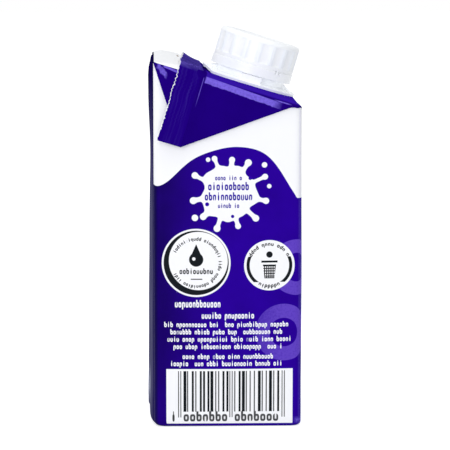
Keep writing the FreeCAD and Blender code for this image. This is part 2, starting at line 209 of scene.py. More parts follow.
EAR_TIP_X, _, EAR_TIP_Z = slant(SEAL_FROM_BACK, 0, -EAR_HEIGHT)


def ear_leg(x):
    """Height of the lower edge of a folded ear, and how steep that edge is."""
    if x < EAR_TIP_X:
        steep = (EAR_TIP_Z - BACK_HEIGHT) / (EAR_TIP_X + HALF_DEPTH)
    else:
        steep = (plane_height(LEG_END) - EAR_TIP_Z) / (LEG_END - EAR_TIP_X)
    return EAR_TIP_Z + (x - EAR_TIP_X) * steep, steep


# ---- stations round the tube
def panel_places(reach, step, extra=()):
    """Places across a panel from -reach to reach, with some exact ones."""
    count = round(2 * reach / step)
    places = [-reach + 2 * reach * i / count for i in range(count + 1)]
    for place in extra:
        places = [p for p in places if abs(p - place) > 0.45 * step] + [place]
    return sorted(places)


def tube_stations():
    """Stations round the tube: print place, x, y, outward x and y, place across, and panel."""
    flat_x = HALF_DEPTH - CORNER_RADIUS
    flat_y = HALF_WIDTH - CORNER_RADIUS
    steep_leg = [-flat_x + 0.7 * i for i in range(1, 8)]
    side = panel_places(flat_x, SIDE_STEP, steep_leg + [EAR_TIP_X])
    edge = SEAM_OFFSET + SEAM_WIDTH / 2
    seam = [-edge, -edge + 0.12, -SEAM_OFFSET + SEAM_WIDTH / 2]
    back = panel_places(flat_y, PANEL_STEP, seam)
    front = panel_places(flat_y, PANEL_STEP)
    panels = [
        ("near", 0, flat_x, side, lambda p: (p, -HALF_WIDTH), (0, -1)),
        ("front", HALF_DEPTH + HALF_WIDTH, flat_y, front, lambda p: (HALF_DEPTH, p), (1, 0)),
        ("far", HALF_ROUND, flat_x, [-p for p in reversed(side)],
         lambda p: (-p, HALF_WIDTH), (0, 1)),
        ("back", 1.5 * HALF_ROUND, flat_y, back, lambda p: (-HALF_DEPTH, -p), (-1, 0)),
    ]
    stations = []
    for order, (name, start, reach, places, where, out) in enumerate(panels):
        stations += [(start + p, *where(p), *out, p / reach, name) for p in places]
        corner_x = flat_x * (1 if order in (0, 1) else -1)
        corner_y = flat_y * (1 if order in (1, 2) else -1)
        for i in range(1, CORNER_STEPS):
            part = i / CORNER_STEPS
            angle = (order - 1 + part) * math.pi / 2
            out_x, out_y = math.cos(angle), math.sin(angle)
            x = corner_x + CORNER_RADIUS * out_x
            y = corner_y + CORNER_RADIUS * out_y
            print_place = start + reach + part * 2 * CORNER_RADIUS
            stations.append((print_place, x, y, out_x, out_y, 1.0, "corner"))
    return stations


def swell(station, z):
    """How far the board stands out from the flat panel at a height."""
    _, _, y, _, _, across, name = station
    bow = 1 - across * across
    if name == "back":
        lap = 0.0
        if abs(y - SEAM_OFFSET) < SEAM_WIDTH / 2 - 0.05:
            lap = SEAM_STEP * smooth((y - SEAM_OFFSET + SEAM_WIDTH / 2) / SEAM_WIDTH * 1.6)
        fullness = BASE_FULLNESS * (1 - smooth(z / BASE_FULLNESS_HEIGHT))
        bow = 1 - abs(across) ** (2 + fullness)
        return bow * along(BACK_SWELL, z) * BACK_SWELL_SHARE + lap
    if name == "front":
        return bow * along(FRONT_SWELL, z)
    if name in ("near", "far"):
        return bow * along(SIDE_SWELL, z)
    return 0.0


# ---- rows of one station, from the middle of the base over the wall to the middle of the top
BASE_RINGS = [0.05, 0.18, 0.3, 0.326, 0.33, 0.45, 0.6, 0.72, 0.84, 0.93]
TOP_RINGS = [0.985, 0.96, 0.93, 0.9, 0.86, 0.82, 0.78, 0.74, 0.7, 0.65, 0.58, 0.5, 0.4, 0.25, 0.1]
EAR_STEP = [(0.45, 0.0), (0.8, 0.06), (0.95, 0.16), (1.0, 0.3)]     # part of the step, and rise
WALL_ROWS = 46
EAR_ROWS = 10
ROLL_ROWS = 9


def base_height(station, part):
    """Height of the base: two folded-in ears carry the pack, the panel between them is sunk."""
    _, _, _, out_x, out_y, _, _ = station
    if abs(out_x) <= abs(out_y):
        return 0.0
    depth = FOLD_DEPTH_RIM + (FOLD_DEPTH - FOLD_DEPTH_RIM) * (1 - part)
    if out_x < 0 and part * HALF_DEPTH < BASE_FIN_WIDTH:
        depth -= FOLD_DEPTH - BASE_FIN_STEP
    return max(depth, 0.0)


def ear_lip(x):
    """How far the ear reaches down below the slope where it runs out at the front edge."""
    return 0.85 - 0.55 * smooth((x - 20.2) / 1.6)


def station_rows(station):
    """Points of one station with the name of the surface each belongs to."""
    _, x, y, out_x, out_y, _, _ = station
    foot = FOOT_ROUND_BACK + (FOOT_ROUND_FRONT - FOOT_ROUND_BACK) * (0.5 + 0.5 * x / HALF_DEPTH)
    rows = []
    rim = 1 - foot / HALF_DEPTH
    for part in BASE_RINGS:
        rows.append(((x * rim * part, y * rim * part, base_height(station, part)), "base"))
    for i in range(FOOT_STEPS):
        angle = i / FOOT_STEPS * math.pi / 2
        inset = foot * (1 - math.sin(angle))
        z = foot * (1 - math.cos(angle))
        out = swell(station, z) * math.sin(angle)
        px = x * (1 - inset / HALF_DEPTH) + out * out_x
        py = y * (1 - inset / HALF_WIDTH) + out * out_y
        rows.append(((px, py, z), "foot"))
    side = abs(out_y)
    has_ear = side >= 0.02
    corner = top_height(x, y)
    leg, steep = ear_leg(x)
    round_end = FRONT_ROUND if x > 0 else BACK_ROUND
    opened = EAR_ROLL_START + (1 - EAR_ROLL_START) * smooth((x + HALF_DEPTH) / EAR_ROLL_RUN)
    edge_round = round_end + (EAR_BEND * opened - round_end) * side ** 2
    if not has_ear:
        leg, steep = corner - edge_round - EAR_SLACK, 0.0
    leg = min(leg, corner - EAR_SLACK - 0.25, plane_height(x) - ear_lip(x) if x > 0 else corner)
    for i in range(WALL_ROWS + 1):
        z = foot + (leg - foot) * i / WALL_ROWS
        out = swell(station, z)
        rows.append(((x + out * out_x, y + out * out_y, z), "wall"))

    def outside(z, part=1.0):
        """The outside of the ear, or of the panel where there is none; part of the step between."""
        panel_out = swell(station, z)
        if not has_ear:
            return x + panel_out * out_x, y + panel_out * out_y
        u = from_slant((x, y, z))[0]
        ear_out = EAR_THICKNESS + LEAN * (corner - z) * math.cos(SLOPE) + nose_ramp(u)
        return x, y + (panel_out + (ear_out - panel_out) * part) * out_y

    reach = math.sqrt(1 + steep * steep)
    for part, rise in EAR_STEP:
        low = min(leg + rise * reach, corner - EAR_SLACK)
        rows.append(((*outside(low, part), low), "leg"))
    high = max(corner - edge_round, low + 0.02)
    for i in range(1, EAR_ROWS + 1):
        z = low + (high - low) * i / EAR_ROWS
        rows.append(((*outside(z), z), "ear"))
    start = rows[-1][0]
    bend_x, bend_y = outside(corner)
    end_x = bend_x - edge_round * out_x
    end_y = bend_y - edge_round * out_y
    bend = (bend_x, bend_y, top_height(bend_x, bend_y))
    end = (end_x, end_y, top_height(end_x, end_y))
    for i in range(1, ROLL_ROWS + 1):
        t = i / ROLL_ROWS
        a, b, c = (1 - t) ** 2, 2 * t * (1 - t), t * t
        rows.append((tuple(a * p + b * q + c * r for p, q, r in zip(start, bend, end)), "roll"))
    for part in TOP_RINGS:
        px, py = end_x * part, end_y * part
        rows.append(((px, py, top_height(px, py)), "top"))
    return rows


# ---- mesh making
def stand(name, data):
    """A new object in the scene."""
    thing = bpy.data.objects.new(name, data)
    bpy.context.scene.collection.objects.link(thing)
    return thing


def mesh_piece(name, points, faces, materials, smooth_angle):
    """A mesh object from points in millimetres and (corners, material number) faces."""
    mesh = bpy.data.meshes.new(name)
    mesh.from_pydata([Vector(p) * MM for p in points], [], [f for f, _ in faces])
    for material in materials:
        mesh.materials.append(material)
    for polygon, (_, number) in zip(mesh.polygons, faces):
        polygon.material_index = number
        polygon.use_smooth = True
    piece = stand(name, mesh)
    mesh.set_sharp_from_angle(angle=math.radians(smooth_angle))
    return piece


def joined(loops, closed):
    """Four-cornered faces between neighbouring loops of points, with their number in the loop."""
    size, count = len(loops[0]), len(loops)
    for k in range(count if closed else count - 1):
        j = (k + 1) % count
        for i in range(size):
            n = (i + 1) % size
            yield i, (k * size + i, k * size + n, j * size + n, j * size + i)


def note_places(piece, name, domain, places):
    """Stores a place in millimetres at each point or corner, for the print to read."""
    layer = piece.data.attributes.new(name, "FLOAT_VECTOR", domain)
    layer.data.foreach_set("vector", [c for place in places for c in place])


PLAIN_PRINT, BACK_PRINT, UPPER_PRINT, LOWER_PRINT, FOLDS = range(5)
BACK_EDGE = 23.3            # the side print ends here, just round the upright edges of the back
PRINT_BREAK = 35.0          # height where the upper and the lower print of the side panel meet


def finish_of(surface, s, z):
    """Which material a face gets, by its surface and its place."""
    if surface in ("leg", "ear", "roll", "top"):
        return FOLDS
    if s < -BACK_EDGE or s > HALF_ROUND + BACK_EDGE:
        return BACK_PRINT
    if surface == "base" or s > HALF_DEPTH:
        return PLAIN_PRINT
    return UPPER_PRINT if z > PRINT_BREAK else LOWER_PRINT


def carton_body(materials):
    """The filled tube with its folded ears, top and base, one closed skin of board."""
    stations = tube_stations()
    columns = [station_rows(s) for s in stations]
    rows = len(columns[0])
    count = len(columns)
    points = [p for column in columns for p, _ in column]
    foot_middle, top_middle = len(points), len(points) + 1
    points += [(0, 0, FOLD_DEPTH / 2), (0, 0, top_height(0, 0))]
    faces = []
    places = []
    for j in range(count):
        k = (j + 1) % count
        s0, s1 = stations[j][0], stations[k][0]
        if s1 < s0:
            s1 += ROUND_THE_TUBE
        if s0 > 1.5 * HALF_ROUND - SEAM_OFFSET:
            s0, s1 = s0 - ROUND_THE_TUBE, s1 - ROUND_THE_TUBE
        for i in range(rows - 1):
            corners = (j * rows + i, k * rows + i, k * rows + i + 1, j * rows + i + 1)
            heights = [points[c][2] for c in corners]
            finish = finish_of(columns[j][i + 1][1], (s0 + s1) / 2, sum(heights) / 4)
            faces.append((corners, finish))
            places += zip((s0, s1, s1, s0), heights)
        faces.append(((foot_middle, k * rows, j * rows), PLAIN_PRINT))
        places += [(s0, 0), (s1, 0), (s0, 0)]
        last = rows - 1
        faces.append(((top_middle, j * rows + last, k * rows + last), FOLDS))
        places += [(s0, 0), (s0, 0), (s1, 0)]
    piece = mesh_piece("carton_body", points, faces, materials, 40)
    note_places(piece, "print_mm", "CORNER", [(s, z, 0.0) for s, z in places])
    note_places(piece, "fold_mm", "POINT", [from_slant(p) for p in points])
    return piece


# ---- the cross seal
def roll_place(w, proud, u):
    """A point of the folded fin: w runs across the pack over both rolled edges, 0 in the middle."""
    side = -1 if w < 0 else 1
    w = abs(w)
    radius = EAR_ROLL + proud
    if w <= FIN_FLAT:
        y, n = w, proud
    elif w <= FIN_FLAT + FIN_ARC:
        angle = (w - FIN_FLAT) / EAR_ROLL
        y = FIN_FLAT + radius * math.sin(angle)
        n = -EAR_ROLL + radius * math.cos(angle)
    else:
        down = w - FIN_FLAT - FIN_ARC
        y = FIN_FLAT + radius + LEAN * (down + EAR_ROLL)
        n = -EAR_ROLL - down
    return slant(u, side * y, n + TOP_RISE)


def fin_section(cut, thick, spring):
    """Points round the fin, as (place down the slope, height): face, nose and underside."""
    nose_u = SEAL_FROM_BACK - FIN_NOSE

    def place(part, height):
        return cut + (nose_u - cut) * part, height + spring * (1 - part) ** 2

    loop = []
    for part in (0.0, 0.03, 0.08, 0.2, 0.36, 0.52, 0.68, 0.82, 0.93):
        loop.append(place(part, thick - FIN_BEVEL * (1 - smooth(part / 0.08))))
    for angle in range(75, -76, -25):
        a = math.radians(angle)
        loop.append((nose_u + FIN_NOSE * math.cos(a), thick / 2 + thick / 2 * math.sin(a)))
    for part in (0.8, 0.5, 0.2, 0.03, 0.0):
        loop.append(place(part, FIN_LIFT))
    loop.append((cut + 0.03, (thick - FIN_BEVEL) * 0.5 + spring))
    return loop


def cross_seal(materials):
    """The seal of the tube, folded flat on the top and on both ears, with a saw-cut edge."""
    chance = random.Random(4)
    bend_end = FIN_FLAT + FIN_ARC
    reach = bend_end + EAR_HEIGHT + TOP_RISE - EAR_ROLL
    teeth = round(2 * reach / TOOTH_PITCH)
    steps = teeth * TOOTH_STEPS
    depth = [TOOTH_DEPTH * (0.45 + 0.9 * chance.random()) for _ in range(teeth + 1)]
    tear = [TEAR * chance.random() for _ in range(steps + 1)]
    loops = []
    marks = []
    for k in range(steps + 1):
        w = -reach + 2 * reach * k / steps
        tooth = k / TOOTH_STEPS
        saw = abs((tooth % 1) - 0.5) * 2
        on_top = smooth((bend_end + 1 - abs(w)) / 2.5)
        across = 0.5 + 0.5 * w / FIN_FLAT
        cut = CUT_EDGE + depth[int(tooth)] * saw + tear[k]
        cut += 0.08 * math.sin(w * 0.9) + 0.07 * math.sin(w * 0.37 + 2)
        cut += FIN_TURN * on_top * smooth((across - 0.2) / 0.6)
        under = REAR_SWELL * smooth(0.1 + across) if on_top > 0 else 0.0
        spring = on_top * (FIN_SPRING + under * 0.75)
        rim = smooth((reach - abs(w)) / 0.35)
        thick = FIN_TIP_THICKNESS + (FIN_THICKNESS - FIN_TIP_THICKNESS) * rim
        section = fin_section(cut, thick, spring)
        loops.append([roll_place(w, proud, u) for u, proud in section])
        marks += [(u - cut, w, 0.0) for u, _ in section]
    size = len(loops[0])
    faces = [(quad, int(i >= size - 2)) for i, quad in joined(loops, False)]
    faces.append((tuple(range(size - 1, -1, -1)), 0))
    last = steps * size
    faces.append((tuple(range(last, last + size)), 0))
    piece = mesh_piece("cross_seal", [p for loop in loops for p in loop], faces, materials, 50)
    note_places(piece, "seal_mm", "POINT", marks)
    return piece


# ---- the tamper band
def ring_turns():
    """Where the ring's outline changes, in degrees, and what it is from there."""
    half_bridge = math.degrees(BRIDGE_WIDTH / 2 / BAND_RADIUS)
    half_notch = math.degrees((BRIDGE_WIDTH / 2 + NOTCH_WIDTH) / BAND_RADIUS)
    step = 0.08
    turns = {i * 360 / RING_STEPS: "plain" for i in range(RING_STEPS)}
    for bridge in BRIDGE_TURNS:
        for turn in list(turns):
            if abs((turn - bridge + 180) % 360 - 180) < half_notch + 0.4:
                del turns[turn]
        for side in (-1, 1):
            turns[bridge + side * (half_notch + step)] = "plain"
            turns[bridge + side * half_notch] = "notch"
            turns[bridge + side * (half_bridge + step)] = "notch"
            turns[bridge + side * half_bridge] = "bridge"
    return sorted(turns.items())


def tamper_ring(material):
    """The band under the cap: a ring with relief notches beside each bridge to the cap."""
    core_insets = {"plain": 0.3, "notch": 0.8, "bridge": 0.12}
    loops = []
    for turn, kind in ring_turns():
        top = BAND_TOP - (NOTCH_DEPTH if kind == "notch" else 0)
        core = CAP_RADIUS - core_insets[kind]
        profile = [
            (BAND_BORE, BAND_BOTTOM),
            (BAND_RADIUS - RING_CHAMFER, BAND_BOTTOM),
            (BAND_RADIUS, BAND_BOTTOM + RING_CHAMFER),
            (BAND_RADIUS, top - RING_CHAMFER),
            (BAND_RADIUS - RING_CHAMFER, top),
            (core, top),
            (core, BAND_TOP + BRIDGE_GAP),
            (BAND_BORE, BAND_TOP + BRIDGE_GAP),
        ]
        a = math.radians(turn)
        loops.append([closure_place(r * math.sin(a), -r * math.cos(a), z) for r, z in profile])
    faces = [(quad, 0) for _, quad in joined(loops, True)]
    return mesh_piece("tamper_ring", [p for loop in loops for p in loop], faces, [material], 30)


# ---- node helpers
EDGE = 0.1                  # softness of a printed edge


class Draft:
    """A drawing board for one node tree, where sockets and plain numbers mix freely."""

    def __init__(self, tree):
        self.tree = tree

    def node(self, kind):
        """A new shader node."""
        return self.tree.nodes.new("ShaderNode" + kind)

    def feed(self, socket, value):
        """Links a socket to an input, or writes a number or colour into it."""
        if isinstance(value, bpy.types.NodeSocket):
            self.tree.links.new(value, socket)
        else:
            socket.default_value = value

    def calc(self, operation, *values):
        """A math node; returns its output."""
        node = self.node("Math")
        node.operation = operation
        for socket, value in zip(node.inputs, values):
            self.feed(socket, value)
        return node.outputs[0]

    def add(self, a, b):
        return self.calc("ADD", a, b)

    def sub(self, a, b):
        return self.calc("SUBTRACT", a, b)

    def mul(self, a, b):
        return self.calc("MULTIPLY", a, b)

    def size(self, value):
        """The value without its sign."""
        return self.calc("ABSOLUTE", value)

    def above(self, value, limit, soft=EDGE):
        """1 where the value is over the limit, with an edge of the given softness."""
        if isinstance(limit, (int, float)):
            step, middle = value, 0.5 - limit / soft
        else:
            step, middle = self.sub(value, limit), 0.5
        result = self.calc("MULTIPLY_ADD", step, 1 / soft, middle)
        result.node.use_clamp = True
        return result

    def below(self, value, limit, soft=EDGE):
        """1 where the value is under the limit."""
        return self.sub(1.0, self.above(value, limit, soft))

    def between(self, value, low, high, soft=EDGE, soft_high=None):
        """1 where the value is over one limit and under the other."""
        over = self.above(value, low, soft)
        return self.mul(over, self.below(value, high, soft_high or soft))

    def near(self, value, middle, reach, soft=EDGE):
        """1 where the value is within reach of a middle."""
        return self.below(self.size(self.sub(value, middle)), reach, soft)

    def both(self, *masks):
        """The overlap of masks."""
        result = masks[0]
        for mask in masks[1:]:
            result = self.mul(result, mask)
        return result

    def either(self, *masks):
        """The union of masks."""
        result = masks[0]
        for mask in masks[1:]:
            result = self.calc("MAXIMUM", result, mask)
        return result

    def split(self, vector):
        """The three numbers of a vector."""
        node = self.node("SeparateXYZ")
        self.feed(node.inputs[0], vector)
        return tuple(node.outputs)

    def join(self, x, y, z=0.0):
        """A vector from three numbers."""
        node = self.node("CombineXYZ")
        for socket, value in zip(node.inputs, (x, y, z)):
            self.feed(socket, value)
        return node.outputs[0]

    def noise(self, vector, scale, detail=2.0, rough=0.5):
        """Smooth noise from 0 to 1."""
        node = self.node("TexNoise")
        self.feed(node.inputs["Vector"], vector)
        node.inputs["Scale"].default_value = scale
        node.inputs["Detail"].default_value = detail
        node.inputs["Roughness"].default_value = rough
        return node.outputs["Fac"]

    def chance(self, number):
        """A random number from 0 to 1 for each whole number."""
        node = self.node("TexWhiteNoise")
        node.noise_dimensions = "1D"
        self.feed(node.inputs["W"], number)
        return node.outputs["Value"]

    def layer(self, mask, under, over):
        """Lays one colour over another where the mask is 1."""
        node = self.node("Mix")
        node.data_type = "RGBA"
        self.feed(node.inputs[0], mask)
        self.feed(node.inputs[6], under)
        self.feed(node.inputs[7], over)
        return node.outputs[2]

    def place(self, group, *values):
        """Places a node group and fills its inputs in their order; returns its outputs."""
        node = self.node("Group")
        node.node_tree = group
        for socket, value in zip(node.inputs, values):
            self.feed(socket, value)
        return node.outputs

    def shape(self, group, *values):
        """The mask or distance that a shape group gives."""
        return self.place(group, *values)[0]

    def attribute(self, name):
        """A place stored on the mesh, as a vector in millimetres."""
        node = self.node("Attribute")
        node.attribute_name = name
        return node.outputs["Vector"]

    def bump(self, height, strength, depth):
        """Turns a height into a normal."""
        node = self.node("Bump")
        self.feed(node.inputs["Height"], height)
        node.inputs["Strength"].default_value = strength
        node.inputs["Distance"].default_value = depth
        return node.outputs[0]

    def seen(self):
        """1 for what the eye sees, straight or by reflection; 0 for what lights other things."""
        rays = self.node("LightPath").outputs
        kinds = ("Camera", "Glossy", "Transmission")
        return self.either(*(rays[f"Is {kind} Ray"] for kind in kinds))


def new_material(name):
    """A node material, its Principled shader and a draft of its node tree."""
    material = bpy.data.materials.new(name)
    material.use_nodes = True
    return material, material.node_tree.nodes["Principled BSDF"], Draft(material.node_tree)


def new_group(name, inputs, outputs):
    """A shader node group that reads a place; returns it with its draft, inputs and outputs."""
    tree = bpy.data.node_groups.new(name, "ShaderNodeTree")
    tree.interface.new_socket("Place", in_out="INPUT", socket_type="NodeSocketVector")
    for label in inputs:
        tree.interface.new_socket(label, in_out="INPUT", socket_type="NodeSocketFloat")
    for label in outputs:
        tree.interface.new_socket(label, in_out="OUTPUT", socket_type="NodeSocketFloat")
    entry = tree.nodes.new("NodeGroupInput")
    leave = tree.nodes.new("NodeGroupOutput")
    return tree, Draft(tree), entry.outputs, leave.inputs


# ---- print shapes, as groups: each reads a place in millimetres and gives a mask or distance
def disc(d, s, z, across, up, radius):
    """A round dot."""
    squares = (d.calc("POWER", d.sub(s, across), 2.0), d.calc("POWER", d.sub(z, up), 2.0))
    return d.below(d.calc("SQRT", d.add(*squares)), radius, 0.12)


def box(d, s, z, left, right, low, high):
    """An upright rectangle."""
    return d.both(d.between(s, left, right), d.between(z, low, high))


def arm(d, s, z, turn, reach, stem, drop):
    """A thrown arm of cream on a ray from the centre, ending in a round drop: its distance."""
    cos, sin = d.calc("COSINE", turn), d.calc("SINE", turn)
    along_ray = d.add(d.mul(s, cos), d.mul(z, sin))
    off_ray = d.sub(d.mul(z, cos), d.mul(s, sin))
    left = d.sub(along_ray, reach)
    nearest = d.calc("MAXIMUM", left, d.mul(d.calc("MINIMUM", along_ray, 0.0), -1.0))
    past = d.calc("MAXIMUM", nearest, 0.0)
    off_square = d.mul(off_ray, off_ray)
    stem = d.sub(d.calc("SQRT", d.add(off_square, d.mul(past, past))), stem)
    drop = d.sub(d.calc("SQRT", d.add(off_square, d.mul(left, left))), drop)
    return d.calc("SMOOTH_MIN", stem, drop, 0.7)


def letter_row(d, s, z, left, right, middle, height, pitch, gap):
    """A row of letter-like marks in words of uneven length; it spells nothing."""
    sharp = 0.01
    step = d.calc("DIVIDE", s, pitch)
    cell = d.calc("FLOOR", step)
    seed = d.mul(middle, 17.3)
    shown = d.between(d.mul(d.add(cell, 0.5), pitch), left, right, sharp)
    sway = d.mul(d.calc("SINE", d.add(cell, seed)), 0.12)
    words = d.add(d.mul(seed, 0.61), d.add(d.mul(cell, 0.193), sway))
    shown = d.mul(shown, d.above(d.sub(d.calc("FRACT", words), gap), 0.0, sharp))
    lot = d.chance(d.add(cell, seed))
    lift = d.calc("DIVIDE", d.sub(z, middle), d.mul(height, 0.5))
    slim = d.above(lot, 0.84, sharp)
    across = d.mul(d.sub(d.calc("FRACT", step), 0.5), d.add(2.4, d.mul(slim, 3.2)))
    wide, tall = d.size(across), d.size(lift)
    round_edge = d.add(d.calc("POWER", wide, 3.0), d.calc("POWER", tall, 3.0))
    mark = d.below(round_edge, 1.0, 0.5)
    open_low = d.mul(d.below(lot, 0.28, sharp), 2.0)
    open_high = d.mul(d.between(lot, 0.28, 0.4, sharp), 2.0)
    eye = d.both(d.below(wide, 0.3, 0.25), d.above(d.add(lift, open_low), -0.4, 0.3))
    eye = d.both(eye, d.below(d.sub(lift, open_high), 0.4, 0.3), d.sub(1.0, slim))
    mark = d.mul(mark, d.sub(1.0, d.mul(eye, 0.9)))
    stem = d.below(d.size(d.add(across, d.sub(0.62, d.mul(slim, 0.62)))), 0.4, 0.25)
    up = d.both(d.above(lot, 0.62, sharp), d.between(lift, 0.0, 1.8, 0.1, 0.25))
    down = d.both(d.below(lot, 0.1, sharp), d.between(lift, -1.7, 0.0, 0.25, 0.1))
    return d.mul(d.either(mark, d.mul(stem, d.either(up, down))), shown)


def bars(d, s, z, left, right, pitch):
    """Upright bars of uneven breadth, as on a price label; they carry no number."""
    step = d.calc("DIVIDE", d.sub(s, left), pitch)
    cell = d.calc("FLOOR", step)
    start = d.add(0.08, d.mul(d.chance(d.add(cell, 11.0)), 0.3))
    lot = d.chance(d.add(cell, 43.0))
    breadth = d.add(0.28, d.mul(d.calc("FLOOR", d.mul(lot, 2.99)), 0.24))
    bar = d.between(d.sub(d.calc("FRACT", step), start), 0.0, breadth, 0.05)
    return d.both(bar, d.between(s, left, right, 0.02))


def shape_group(name, labels, draw, output="Mask"):
    """The node group of a print shape."""
    group, d, given, out = new_group(name, labels, [output])
    s, z, _ = d.split(given["Place"])
    d.feed(out[output], draw(d, s, z, *(given[label] for label in labels)))
    return group


def film_group():
    """The thin clear film on the board: slow waves, fine grain and faint rubbed patches."""
    group, d, given, out = new_group("board_film", ["Wave", "Grain"], ["Height", "Roughness"])
    slow = d.noise(given["Place"], 0.11, 2.0)
    fine = d.noise(given["Place"], 2.6, 3.0, 0.6)
    d.feed(out["Height"], d.add(d.mul(slow, given["Wave"]), d.mul(fine, given["Grain"])))
    rubbed_and_sheen = d.noise(given["Place"], 0.35, 4.0, 0.6)
    d.feed(out["Roughness"], d.add(0.24, d.mul(rubbed_and_sheen, 0.16)))
    return group


def edge_light_group():
    """Painted highlight along a fold, as paler ink broken up by noise; reads the distance from the
    fold.
    """
    group, d, given, out = new_group("painted_edge_light", ["Distance", "Breadth"], ["Mask"])
    near = d.sub(1.0, d.calc("DIVIDE", d.size(given["Distance"]), given["Breadth"]))
    speck = d.noise(given["Place"], 1.7, 4.0, 0.65)
    d.feed(out["Mask"], d.mul(d.calc("MAXIMUM", near, 0.0), d.above(speck, 0.42, 0.3)))
    return group


def moulded_group():
    """Moulded plastic: a faint orange-peel skin and slow changes of tone."""
    group, d, given, out = new_group("moulded_skin", ["Peel"], ["Height", "Tone", "Roughness"])
    peel = d.noise(given["Place"], 0.9, 2.0)
    slow = d.noise(given["Place"], 0.12, 2.0)
    d.feed(out["Height"], d.mul(peel, given["Peel"]))
    d.feed(out["Tone"], d.above(slow, 0.55, 0.5))
    d.feed(out["Roughness"], d.add(0.28, d.mul(peel, 0.12)))
    return group


DISC = shape_group("print_disc", ["Across", "Up", "Radius"], disc)
BOX = shape_group("print_box", ["Left", "Right", "Low", "High"], box)
ARM = shape_group("print_arm", ["Turn", "Reach", "Stem", "Drop"], arm, "Distance")
ROW = shape_group("print_row", ["Left", "Right", "Middle", "Height", "Pitch", "Gap"], letter_row)
BARS = shape_group("print_bars", ["Left", "Right", "Pitch"], bars)
FILM = film_group()
EDGE_LIGHT = edge_light_group()
MOULDED = moulded_group()


def ink(red, green, blue):
    """A print colour, given in display values from 0 to 255."""
    def linear(value):
        value /= 255
        return value / 12.92 if value <= 0.04045 else ((value + 0.055) / 1.055) ** 2.4
    return (linear(red), linear(green), linear(blue), 1.0)


PURPLE = ink(43, 0, 156)
DEEP_PURPLE = ink(22, 0, 92)
FOLD_PURPLE = ink(32, 1, 125)
NAVY = ink(14, 8, 62)
# Painted reflection on the back panel.
REFLECTION_NAVY = ink(104, 102, 134)
# Painted pale highlight near the foot of the back panel.
GLINT_NAVY = ink(214, 220, 236)
# Painted sheen on the top face of the seal.
SHEEN_GREY = ink(104, 92, 168)
PALE_PURPLE = ink(96, 66, 190)
# Paler purple: painted highlights on bends, creases, wrinkles and the front edge; also the seal's
# pressed streaks and a faint tint on the top.
SHEEN_PURPLE = ink(122, 100, 220)
WHITE_BOARD = ink(245, 245, 248)
# A brighter white for the strip behind the seal: painted top light.
TOP_LIT_WHITE = ink(252, 252, 253)
RAW_BOARD = ink(226, 222, 214)
NEAR_BLACK = ink(24, 28, 32)
PLASTIC_WHITE = ink(251, 252, 253)
PLASTIC_SHADE = ink(238, 243, 251)
SPOT_BROWN = ink(140, 112, 84)


# ---- the print on the panels
# A wave of purple round the pack: (waves round the pack, height, place of its crest), on a middle.
WAVE_MIDDLE = 76.8
WAVES = [(2, 3.2, -4.3), (4, 5.05, 0.85), (6, 1.75, 7.2), (8, 2.0, -9.05), (12, 0.4, 0.95)]
WAVE_TROUGH = 68.6          # its troughs flatten out at this height

# A splash of cream on the side panel: its centre, its body and the body's lobes (count, height,
# start), its arms (turn, reach, stem, drop), loose drops and bubbles (across, up, radius).
SPLASH = (0.2, 70.2)
SPLASH_BODY = 8.15
SPLASH_LOBES = [(5, 0.4, 0.6), (9, 0.3, 2.1), (3, 0.35, 0.2)]
SPLASH_ARMS = [
    (57, 10.7, 0.6, 1.0), (84, 9.9, 0.7, 0.8), (112, 11.0, 0.5, 0.8), (152, 11.2, 0.55, 0.95),
    (-168, 10.6, 0.7, 1.0), (-137, 10.2, 0.8, 0.9), (-108, 11.0, 0.6, 1.0), (-74, 10.2, 0.6, 0.8),
    (-43, 11.0, 0.65, 0.95), (-12, 11.3, 0.6, 0.9), (24, 11.8, 0.5, 0.85),
]
SPLASH_DROPS = [(10.6, 8.3, 0.8), (12.0, 2.0, 0.65), (-9.9, -7.3, 0.95), (-6.0, 9.9, 0.65)]
SPLASH_BUBBLES = [(6.4, 4.4, 0.55), (-6.3, -3.3, 0.6), (1.2, -6.9, 0.5)]

# Rows of small print: left, right, middle height, letter height, letter pitch, share of gaps.
SPLASH_ROWS = [
    (-3.9, 4.1, 4.3, 1.05, 0.8, 0.1),
    (-6.1, 6.1, 1.7, 1.75, 1.22, 0.0),
    (-7.1, 7.1, -1.3, 1.75, 1.18, 0.0),
    (-3.2, 3.2, -3.9, 1.05, 0.8, 0.1),
]
SMALL_PRINT = (1.14, 0.9, 0.17)
ROWS = [
    (-15.9, -2.4, 37.0, 1.6, 1.05, 0.0),
    (-7.6, 7.4, 33.5, 1.4, 0.98, 0.1),
    (-18.7, 18.2, 30.85, *SMALL_PRINT),
    (-17.1, 16.6, 28.65, *SMALL_PRINT),
    (-19.3, 18.8, 26.45, *SMALL_PRINT),
    (-15.9, 15.8, 24.25, *SMALL_PRINT),
    (-13.9, 13.6, 21.25, *SMALL_PRINT),
    (-16.8, 16.8, 19.1, *SMALL_PRINT),
]

# Two white badges: centre and radius, and the rows on them. Rows on a rim run round the badge.
LARGE_BADGE = (-9.35, 49.5, 10.15)
LARGE_RIM_ROW = (-19.5, 19.5, 7.0, 0.78, 0.8, 0.14)
LARGE_ROW = (-4.9, 4.9, -2.7, 1.25, 1.0, 0.0)
SMALL_BADGE = (12.3, 48.7, 7.5)
SMALL_RIM_ROWS = [(2.8, 17.0, 6.2, 0.85, 0.95, 0.14), (-12.9, -6.9, 6.2, 0.85, 0.95, 0.0)]

# Pale rings that run round the front edge: centre, outer and inner radius.
RINGS = [(20.6, 48.0, 8.3, 4.3), (16.6, 28.6, 8.5, 4.3)]

